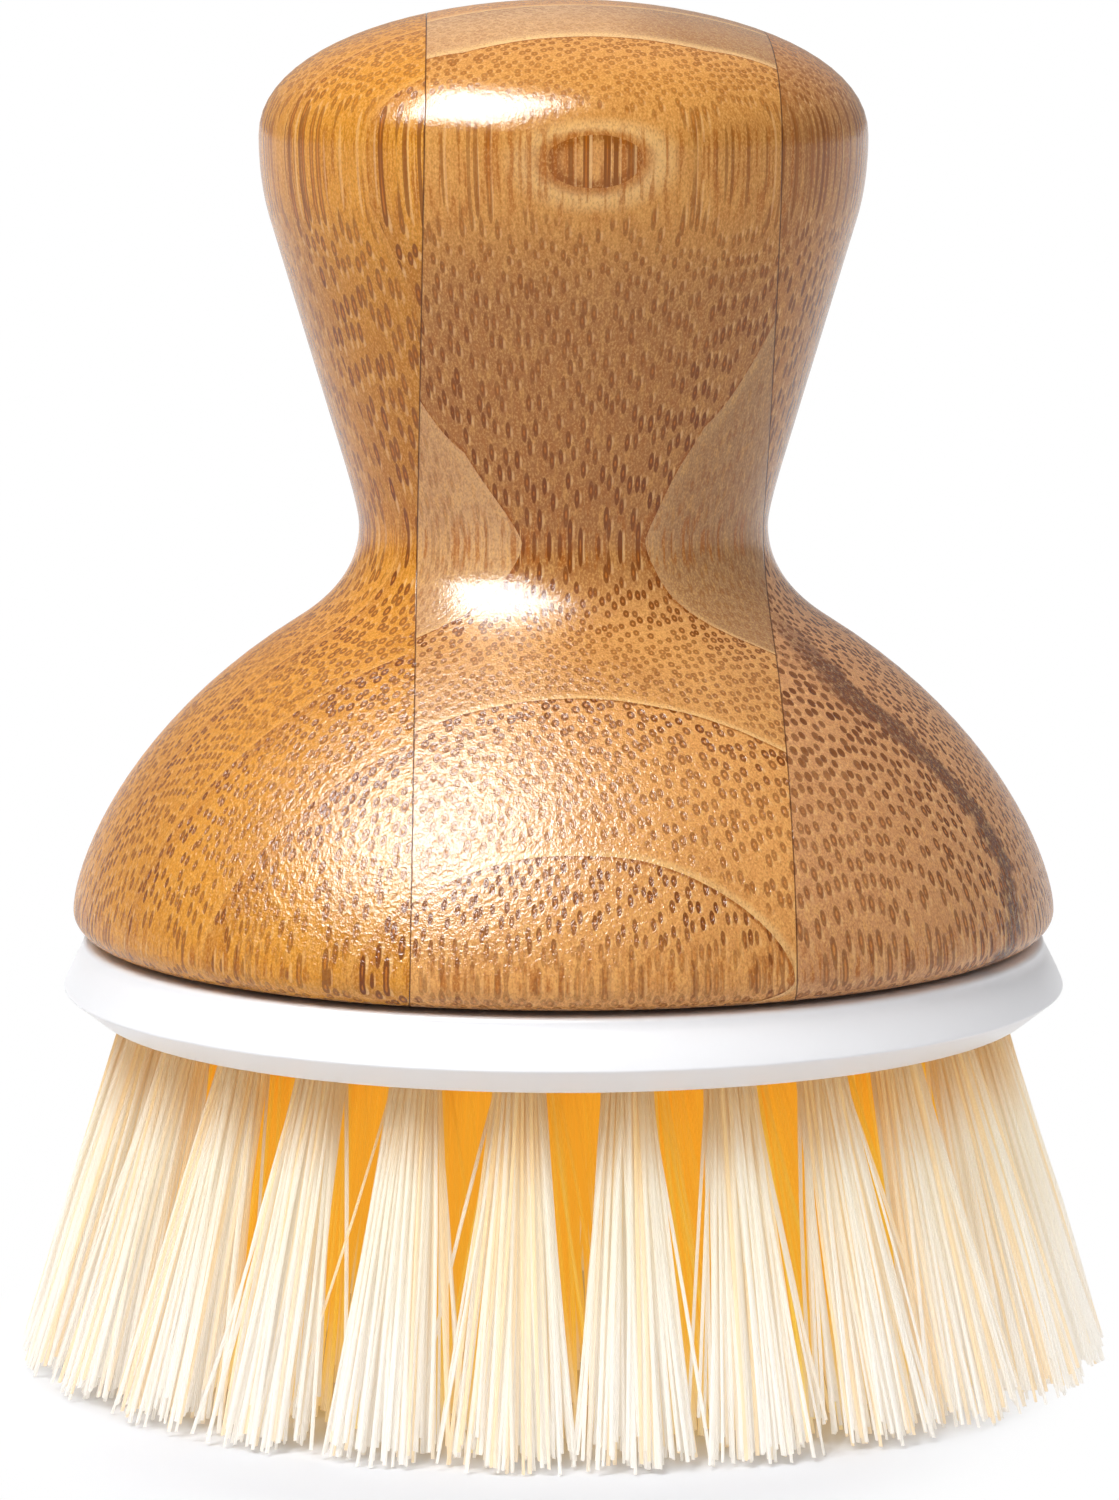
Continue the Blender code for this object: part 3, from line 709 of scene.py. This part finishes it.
def make_handle():
    blank = turned("bamboo_handle_blank", (0.0, HANDLE_TOP), handle_runs(), 288, 20)
    nick_base(blank)
    left = copied(blank, "bamboo_left_board")
    parted(left, LEFT_GLUE, -1)
    right = copied(blank, "bamboo_right_board")
    parted(right, RIGHT_GLUE, 1)
    middle = copied(blank, "bamboo_middle_board")
    parted(middle, LEFT_GLUE, 1)
    parted(middle, RIGHT_GLUE, -1)
    bpy.data.objects.remove(blank)
    for board, material, node in (
        (left, left_bamboo(), "handle_left_board"),
        (middle, middle_bamboo(), "handle_middle_board"),
        (right, right_bamboo(), "handle_right_board"),
    ):
        smooth(board)
        dress(board, material)
        place_piece(board, "handle", "bamboo", node)


# ---------------------------------------------------------------- the screw joint

def thread_profile(name, clearance, flank, foot):
    """The thread's section at its lower end, as four points and the edges between them."""
    pick_none()
    bpy.ops.mesh.primitive_plane_add(size=1, location=(0, 0, 0))
    ridge = bpy.context.object
    ridge.name = name
    crest = THREAD_CREST + clearance
    half_root = THREAD_HALF_ROOT + flank
    half_crest = THREAD_HALF_CREST + flank
    corners = [(THREAD_ROOT, -half_root), (crest, -half_crest), (crest, half_crest), (THREAD_ROOT, half_root)]
    order = [ridge.data.vertices[index] for index in (0, 1, 3, 2)]
    for vertex, (radius, height) in zip(order, corners):
        vertex.co = (radius * math.cos(THREAD_CLOCKING) * MM, radius * math.sin(THREAD_CLOCKING) * MM,
                     (foot + height) * MM)
    edit_all(ridge)
    bpy.ops.mesh.delete(type="ONLY_FACE")
    end_edit()
    return ridge


def run_out(ridge, foot, steps):
    """Lowers the crest towards the root at both ends of the thread."""
    long, least = THREAD_STEPS / 3, 0.06
    for vertex in ridge.data.vertices:
        radius = math.hypot(vertex.co.x, vertex.co.y) / MM
        step = (vertex.co.z / MM - foot) / THREAD_PITCH * THREAD_STEPS
        full = min(1.0, max(least, min(step, steps - step) / long))
        if radius > STUD_RADIUS:
            kept = (THREAD_ROOT + (radius - THREAD_ROOT) * full) / radius
            vertex.co.x *= kept
            vertex.co.y *= kept


def thread(name, foot, turns, clearance=0.0, flank=0.0):
    """A right-hand thread ridge. The stud's, which has no clearance, runs out to nothing at both ends."""
    ridge = thread_profile(name, clearance, flank, foot)
    pick(ridge)
    steps = round(turns * THREAD_STEPS)
    sweep = ridge.modifiers.new("sweep", "SCREW")
    sweep.angle = turns * math.tau
    sweep.screw_offset = turns * THREAD_PITCH * MM
    sweep.steps = steps
    sweep.render_steps = steps
    sweep.use_merge_vertices = False
    bpy.ops.object.modifier_apply(modifier=sweep.name)
    if clearance == 0:
        run_out(ridge, foot, steps)
    edit_all(ridge)
    bpy.ops.mesh.select_all(action="DESELECT")
    bpy.ops.mesh.select_non_manifold(extend=False)
    bpy.ops.mesh.edge_face_add()
    end_edit()
    closed(ridge)
    return ridge


def make_insert():
    chamfer, groove, lip, lead_in = 0.5, 0.5, 0.2, 0.6
    outline = [(INSERT_RADIUS - chamfer, INSERT_TOP), (INSERT_RADIUS, INSERT_TOP - chamfer)]
    for middle in INSERT_GROOVES:
        outline += [(INSERT_RADIUS, middle + groove), (INSERT_RADIUS - groove, middle + groove),
                    (INSERT_RADIUS - groove, middle - groove), (INSERT_RADIUS, middle - groove)]
    outline += [
        (INSERT_RADIUS, FLANGE_TOP), (FLANGE_RADIUS - lip, FLANGE_TOP), (FLANGE_RADIUS, FLANGE_TOP - lip),
        (FLANGE_RADIUS, HANDLE_BOTTOM + lip), (FLANGE_RADIUS - lip, HANDLE_BOTTOM),
        (INSERT_BORE + lead_in, HANDLE_BOTTOM), (INSERT_BORE, HANDLE_BOTTOM + lead_in),
        (INSERT_BORE, INSERT_BORE_TOP), (0.0, INSERT_BORE_TOP),
    ]
    insert = turned("threaded_insert", (0.0, INSERT_TOP), straight(*outline), 96)
    cutter = thread("insert_thread_cutter", THREAD_FOOT - THREAD_PITCH, THREAD_TURNS + 1.25, 0.35, 0.25)
    combined(insert, cutter, "DIFFERENCE")
    closed(insert)
    smooth(insert)
    dress(insert, plastic("insert_plastic", srgb(176, 178, 182), 0.42, 0.006))
    place_piece(insert, "handle", "insert_plastic", "handle_insert")


def make_washer():
    low, high, inner, outer, edge = WASHER_BOTTOM, WASHER_TOP, WASHER_INNER, WASHER_OUTER, 0.3
    washer = turned("sealing_washer", (outer, high - edge), [
        bend((outer, high - edge), (outer, high), (outer - edge, high)), ((inner + edge, high),),
        bend((inner + edge, high), (inner, high), (inner, high - edge)), ((inner, low + edge),),
        bend((inner, low + edge), (inner, low), (inner + edge, low)), ((outer - edge, low),),
        bend((outer - edge, low), (outer, low), (outer, low + edge)), ((outer, high - edge),),
    ], 96, 5)
    smooth(washer)
    dress(washer, plastic("washer_rubber", srgb(62, 62, 64), 0.62, 0.02))
    place_piece(washer, "washer", "washer_rubber", "seat_washer")


# ---------------------------------------------------------------- the brush head

def slope(row_radius):
    """How far a tuft of this row moves outwards for each unit that it goes down."""
    return row_radius * SPLAY / DISC_UNDER


def tuft_angles(count):
    return [FIRST_TUFT + math.tau * index / count for index in range(count)]


def hole_cutters():
    """A leaning cylinder for each tuft, from below the disc to the bottom of its hole."""
    cutters = []
    low, high = -1.0, HOLE_DEPTH
    middle = (low + high) / 2
    for row_radius, count in [OUTER_ROW, SECOND_ROW] + INNER_ROWS:
        lean = slope(row_radius)
        reach = row_radius - lean * middle
        for angle in tuft_angles(count):
            pick_none()
            bpy.ops.mesh.primitive_cylinder_add(
                vertices=28, radius=HOLE_RADIUS * MM, depth=(high - low) * math.hypot(1, lean) * MM,
                location=(reach * math.sin(angle) * MM, -reach * math.cos(angle) * MM, (DISC_UNDER + middle) * MM),
                rotation=(0, -math.atan(lean), angle - math.pi / 2),
            )
            cutters.append(bpy.context.object)
    return joined(cutters, "tuft_hole_cutters")


def make_disc():
    edge, stud_chamfer, fillet, recess_chamfer, under_edge = 0.5, 0.8, 0.3, 0.15, 0.2
    top = (DISC_TOP_RADIUS - edge, DISC_TOP)
    side = (DISC_TOP_RADIUS, DISC_TOP - edge)
    crease = (RIM_RADIUS, RIM_CREASE)
    under = (DISC_UNDER_RADIUS, DISC_UNDER)
    over_crease = between(crease, side, 0.05)
    below_crease = between(crease, under, 0.06)
    above_under = between(under, crease, 0.07)
    inside_under = (DISC_UNDER_RADIUS - under_edge, DISC_UNDER)
    bulge = between(side, over_crease, 0.5)
    bulged = (bulge[0] + 0.12, bulge[1])
    over_fillet = (STUD_RADIUS, RECESS_FLOOR + fillet)
    beside_fillet = (STUD_RADIUS + fillet, RECESS_FLOOR)
    disc = turned("brush_head_disc", (0.0, STUD_TOP), [
        *straight((STUD_RADIUS - stud_chamfer, STUD_TOP), (STUD_RADIUS, STUD_TOP - stud_chamfer), over_fillet),
        bend(over_fillet, (STUD_RADIUS, RECESS_FLOOR), beside_fillet),
        *straight((RECESS_RADIUS, RECESS_FLOOR), (RECESS_RADIUS, DISC_TOP - recess_chamfer),
                  (RECESS_RADIUS + recess_chamfer, DISC_TOP), top),
        bend(top, (DISC_TOP_RADIUS, DISC_TOP), side), bend(side, bulged, over_crease),
        bend(over_crease, crease, below_crease), (above_under,),
        bend(above_under, under, inside_under), ((0.0, DISC_UNDER),),
    ], 256, 6)
    combined(disc, hole_cutters(), "DIFFERENCE")
    combined(disc, thread("stud_thread", THREAD_FOOT, THREAD_TURNS - 0.15), "UNION")
    closed(disc)
    smooth(disc)
    dress(disc, plastic("white_plastic", srgb(248, 248, 250), 0.3, 0.004))
    place_piece(disc, "head", "white_plastic", "head_disc")


# ---------------------------------------------------------------- the bristles

def modelled_filament(sides, lengths):
    """One filament of radius 1 and length 1, cut across into lengths: its points and its faces."""
    pick_none()
    bpy.ops.mesh.primitive_circle_add(vertices=sides, radius=1, fill_type="NGON", location=(0, 0, 0))
    strand = bpy.context.object
    edit_all(strand)
    for _ in range(lengths):
        bpy.ops.mesh.extrude_region_move(TRANSFORM_OT_translate={"value": (0, 0, 1 / lengths)})
    end_edit()
    closed(strand)
    points = np.array([vertex.co[:] for vertex in strand.data.vertices])
    faces = [list(face.vertices) for face in strand.data.polygons]
    bpy.data.objects.remove(strand)
    return points, faces


def filament_ends(row_radius, outwards, sideways, spread, width, skew, chance):
    """Where a filament begins, leaves the disc and ends, in a tuft that splays towards +X."""
    mouth = np.array([outwards * ROOT_RADIUS, sideways * ROOT_RADIUS, 0.0])
    deep = mouth * 0.97 + np.array([-slope(row_radius) * ROOT_DEPTH, 0, ROOT_DEPTH])
    stray = 1.7 if chance.random() < 0.12 else 1.0
    distance = row_radius * (1 + SPLAY) + outwards * spread[0] * stray + chance.gauss(0, 0.35)
    distance = min(distance, TIP_REACH)
    swing = (sideways * spread[1] * width * stray + skew + chance.gauss(0, 0.6)) / distance
    cut_short = chance.random() <= 0.16
    cut = chance.uniform(1.0, 3.2) if cut_short else chance.uniform(0.0, 1.3)
    tip = np.array([distance * math.cos(swing) - row_radius, distance * math.sin(swing), -DISC_UNDER])
    tip = mouth + (tip - mouth) * (DISC_UNDER - cut - 0.05) / DISC_UNDER
    return deep, mouth, tip


def filament_points(points, level_of, shares, ends, thick, chance):
    """The points of one filament, which bows a little between the disc and its slanting cut."""
    deep, mouth, tip = ends
    bow = np.array([chance.gauss(0, 0.16), chance.gauss(0, 0.16), 0.0])
    path = [deep]
    for share in shares[1:]:
        free = (share - shares[1]) / (1 - shares[1])
        path.append(mouth + (tip - mouth) * free + bow * math.sin(math.pi * free))
    ring = np.zeros_like(points)
    ring[:, :2] = points[:, :2] * thick
    slant = np.array([chance.uniform(-0.6, 0.6), chance.uniform(-0.6, 0.6)])
    at_tip = level_of == len(shares) - 1
    ring[at_tip, 2] = abs(ring[at_tip, :2] @ slant)
    return np.array(path)[level_of] + ring


def in_row(local, row_radius, angle):
    """Turns the points of a tuft that splays towards +X to its place in the row."""
    turn = angle - math.pi / 2
    placed = np.empty_like(local)
    placed[:, 0] = local[:, 0] * math.cos(turn) - local[:, 1] * math.sin(turn)
    placed[:, 1] = local[:, 0] * math.sin(turn) + local[:, 1] * math.cos(turn)
    placed[:, 0] += row_radius * math.sin(angle)
    placed[:, 1] -= row_radius * math.cos(angle)
    placed[:, 2] = local[:, 2] + DISC_UNDER
    return placed


def tuft(name, shape, rows, filaments, spread, chance):
    """Copies a filament into tufts. rows holds (row radius, angle) for each tuft of the piece."""
    points, faces = shape
    rings = np.round(points[:, 2] * 1000).astype(int)
    levels = np.unique(rings)
    level_of = np.searchsorted(levels, rings)
    shares = levels / 1000
    spots, all_faces, along, own_tone = [], [], [], []
    golden = math.pi * (3 - math.sqrt(5))
    for row_radius, angle in rows:
        turn = chance.uniform(0, math.tau)
        skew = chance.uniform(-1.0, 1.0)
        width = chance.uniform(0.82, 1.12)
        for index in range(filaments):
            reach = math.sqrt((index + 0.5) / filaments)
            around = turn + index * golden
            outwards = reach * math.cos(around)
            sideways = reach * math.sin(around)
            thick = chance.uniform(*FILAMENT_RADII)
            ends = filament_ends(row_radius, outwards, sideways, spread, width, skew, chance)
            local = filament_points(points, level_of, shares, ends, thick, chance)
            start = len(spots) * len(points)
            spots.append(in_row(local, row_radius, angle))
            all_faces += [[corner + start for corner in face[::-1]] for face in faces]
            along.append(shares[level_of])
            # a random tone, lower on a tuft's sides so that more of them take the odd tone there: a painted tint of
            # the light from the tufts beside
            own_tone.append(np.full(len(points), chance.random() * (1.2 - abs(sideways) * 0.6)))
    mesh = bpy.data.meshes.new(name)
    mesh.from_pydata((np.concatenate(spots) * MM).tolist(), [], all_faces)
    for label, values in (("along", along), ("own_tone", own_tone)):
        layer = mesh.attributes.new(label, "FLOAT", "POINT")
        layer.data.foreach_set("value", np.concatenate(values).astype(np.float32))
    piece = bpy.data.objects.new(name, mesh)
    bpy.context.scene.collection.objects.link(piece)
    smooth(piece, 50)
    return piece


def make_tufts():
    # the first tone of each, the root's, is a painted shadow of the rim over the filaments' tops
    cream = bristle(
        "cream_bristle", (srgb(226, 196, 144), srgb(243, 238, 226), srgb(246, 244, 238), srgb(252, 218, 144)),
        ((1.0, 0.97, 0.91), (1.0, 0.98, 0.96)), (0.4, 0.9), 0.15,
    )
    yellow = bristle(
        "yellow_bristle", (srgb(250, 214, 96), srgb(255, 226, 108), srgb(255, 242, 208), srgb(255, 236, 150)),
        ((1.0, 0.85, 0.20), (1.0, 0.93, 0.78)), (0.72, 1.0), 0.18,
    )
    fine = modelled_filament(6, 6)
    plain = modelled_filament(5, 5)
    chance = random.Random(SEED)
    for (row_radius, count), (filaments, spread), material, slot, piece_name, node in (
        (OUTER_ROW, OUTER_FILAMENTS, cream, "cream_bristle", "cream_tuft", "outer_tuft"),
        (SECOND_ROW, SECOND_FILAMENTS, yellow, "yellow_bristle", "yellow_tuft", "second_tuft"),
    ):
        for number, angle in enumerate(tuft_angles(count), 1):
            piece = tuft(f"{piece_name}_{number:02d}", fine, [(row_radius, angle)], filaments, spread, chance)
            dress(piece, material)
            place_piece(piece, "head", slot, f"{node}_{number:02d}")
    inner = [(radius, angle) for radius, count in INNER_ROWS for angle in tuft_angles(count)]
    piece = tuft("inner_yellow_tufts", plain, inner, *INNER_FILAMENTS, chance)
    dress(piece, yellow)
    place_piece(piece, "head", "yellow_bristle", "inner_tufts")


# ---------------------------------------------------------------- floor, light and camera

def make_floor():
    """A floor that is white to the eye, and matt round the brush, where it takes the shadow."""
    pick_none()
    bpy.ops.mesh.primitive_plane_add(size=40, location=(0, 0, 0))
    floor = bpy.context.object
    floor.name = "studio_floor"
    finish = Finish("studio_floor")
    rays = finish.add("ShaderNodeLightPath")
    seen = rays["Is Camera Ray"].larger(rays["Is Glossy Ray"]).larger(rays["Is Transmission Ray"])
    place = finish.add("ShaderNodeTexCoord")["Object"]
    from_shadow = finish.vectors("ADD", place, (0.004, 0.006, 0.0))
    away = finish.length(finish.vectors("MULTIPLY", from_shadow, (1.2, 0.8, 1.0)))
    matt = finish.add("ShaderNodeBsdfDiffuse", {}, {"Color": (0.66, 0.66, 0.68)})[0]
    seen_matt = finish.add("ShaderNodeBsdfDiffuse", {}, {"Color": (0.76, 0.77, 0.80)})[0]
    white = finish.add("ShaderNodeEmission", {}, {"Color": (1.0, 1.0, 1.0), "Strength": 1.0})[0]
    near = finish.blended(seen, matt, seen_matt)
    dress(floor, finish.end(finish.blended(seen * away.rise(0.035, 0.050), near, white)))


def softbox(name, direction, distance, size, power):
    """A square lamp that looks at the brush's middle from the direction given."""
    pick_none()
    spot = Vector(direction).normalized() * distance + Vector((0, 0, 0.05))
    bpy.ops.object.light_add(type="AREA", location=spot)
    lamp = bpy.context.object
    lamp.name = name
    lamp.rotation_euler = Vector(direction).to_track_quat("Z", "Y").to_euler()
    lamp.data.shape = "SQUARE"
    lamp.data.size = size
    lamp.data.energy = power
    return lamp


def make_world():
    """White surroundings: full to the eye and through bristles, low as light, and in between for gloss."""
    world = bpy.data.worlds.new("studio")
    bpy.context.scene.world = world
    world.use_nodes = True
    sky = Nodes(world.node_tree)
    rays = sky.add("ShaderNodeLightPath")
    seen = rays["Is Camera Ray"].larger(rays["Is Transmission Ray"])
    level = seen.larger(rays["Is Glossy Ray"] * 0.15)
    strength = sky.add("ShaderNodeMapRange", {}, {"Value": level, "To Min": 0.28, "To Max": 1.0})[0]
    white = sky.add("ShaderNodeBackground", {}, {"Color": (1.0, 1.0, 1.0), "Strength": strength})[0]
    sky.add("ShaderNodeOutputWorld", {}, {0: white})


def make_light():
    """Soft lamps. Only one of them shows in the lacquer, as its highlight, and that one lights nothing else."""
    make_world()
    softbox("key_softbox", (-0.385, -0.40, 0.83), 0.8, 0.48, 5.7).visible_glossy = False
    highlight = softbox("highlight_softbox", (-0.42, -0.40, 0.82), 0.81, 0.56, 33.0)
    highlight.visible_diffuse = False
    highlight.data.color = (0.80, 0.95, 1.0)
    softbox("front_softbox", (0.5, -0.62, 0.6), 1.2, 0.5, 2.5).visible_glossy = False
    softbox("back_softbox", (0.0, 0.6, 0.8), 1.2, 0.8, 6.5).visible_glossy = False


def make_camera():
    """The photograph's view: from the front, a little from above."""
    pitch, distance, aim = math.radians(7.953), 0.462947, 0.044454
    data = bpy.data.cameras.new("camera")
    data.lens = 151.1
    data.sensor_width = 36.0
    data.sensor_fit = "AUTO"
    data.shift_x = -4 / PHOTO_HEIGHT
    data.clip_end = 100.0
    camera = bpy.data.objects.new("camera", data)
    bpy.context.scene.collection.objects.link(camera)
    camera.location = (0, -distance * math.cos(pitch), aim + distance * math.sin(pitch))
    camera.rotation_euler = (math.pi / 2 - pitch, 0, 0)
    bpy.context.scene.camera = camera
    bpy.context.scene.view_settings.view_transform = "Standard"


# ---------------------------------------------------------------- putting it together

make_handle()
make_insert()
make_washer()
make_disc()
make_tufts()
make_floor()
make_light()
make_camera()
